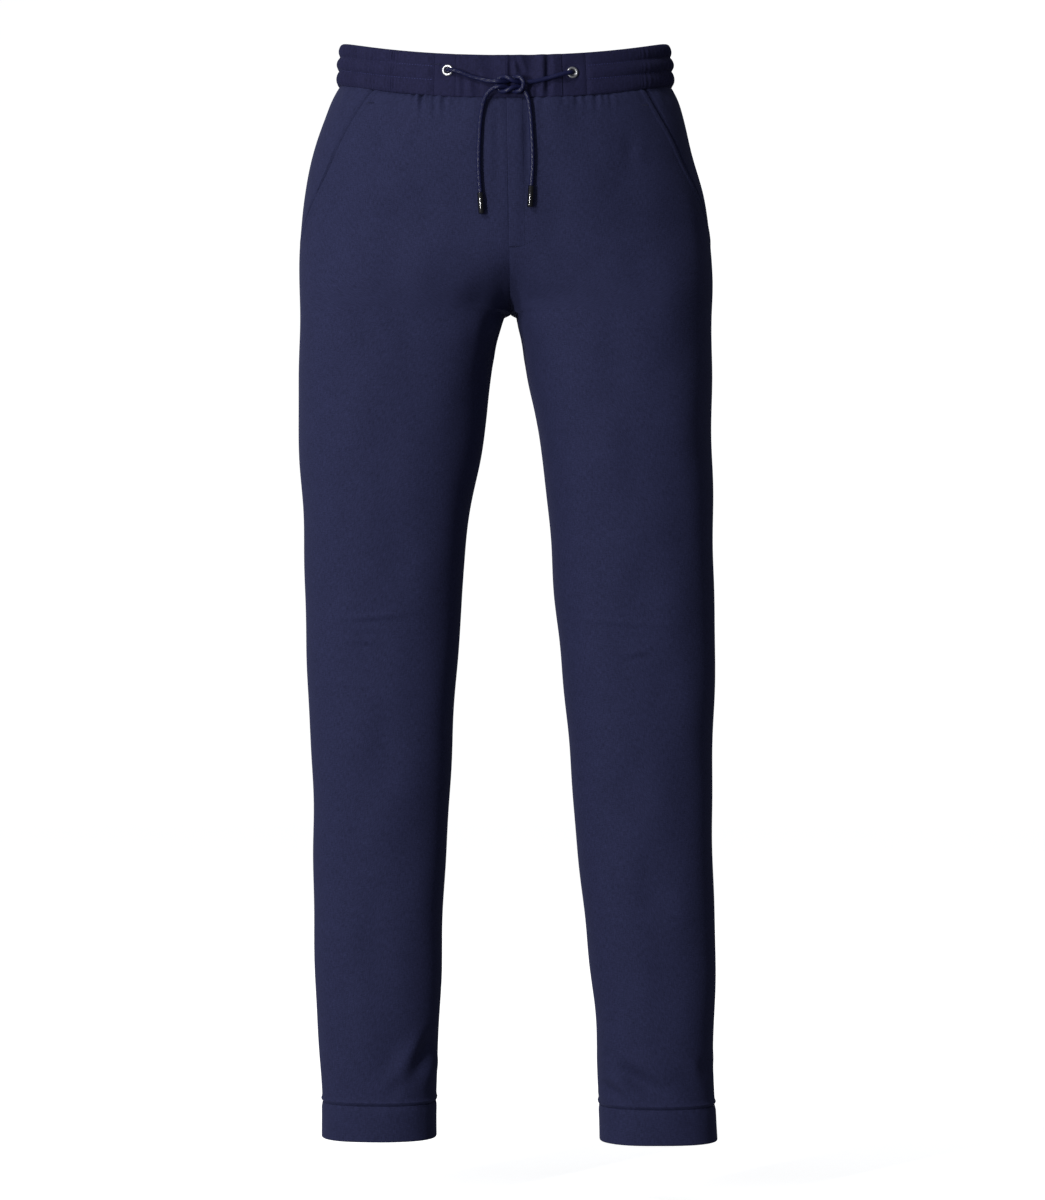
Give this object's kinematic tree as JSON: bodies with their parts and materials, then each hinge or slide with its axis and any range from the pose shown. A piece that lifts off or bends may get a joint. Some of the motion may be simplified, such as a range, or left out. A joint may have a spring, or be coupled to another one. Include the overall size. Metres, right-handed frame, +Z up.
{
  "type": "slacks",
  "caption": "Slim drawstring slacks filled out as if worn, with an elasticated waist, slant pockets, a fly and turned-up hems.",
  "frame": {"origin": "middle of the waist, half way up the waistband at the sides, where the wearer's waist holds the garment", "axes": "+Z up out of the waist opening, the front of the garment faces -Y, +X is the wearer's left"},
  "size_m": [0.4032, 0.2561, 1.0571],
  "materials": {
    "cloth": "matte woven jersey, navy",
    "waistband": "matte woven jersey over elastic, navy",
    "eyelet": "polished nickel",
    "cord": "braided navy cord",
    "cord_tip": "glossy dipped end"
  },
  "bodies": {
    "root": {"front_right": "cloth", "back_right": "cloth", "pocket_side_right": "cloth", "hem_right": "cloth", "waistband_front_right": "waistband", "waistband_eyelet_right": "waistband", "waistband_elastic_right": "waistband", "eyelet_right": "eyelet", "drawstring_right": "cord", "tip_right": "cord_tip", "front_left": "cloth", "back_left": "cloth", "pocket_side_left": "cloth", "hem_left": "cloth", "waistband_front_left": "waistband", "waistband_eyelet_left": "waistband", "waistband_elastic_left": "waistband", "eyelet_left": "eyelet", "drawstring_left": "cord", "tip_left": "cord_tip", "fly_placket": "cloth"}
  },
  "joints": []
}
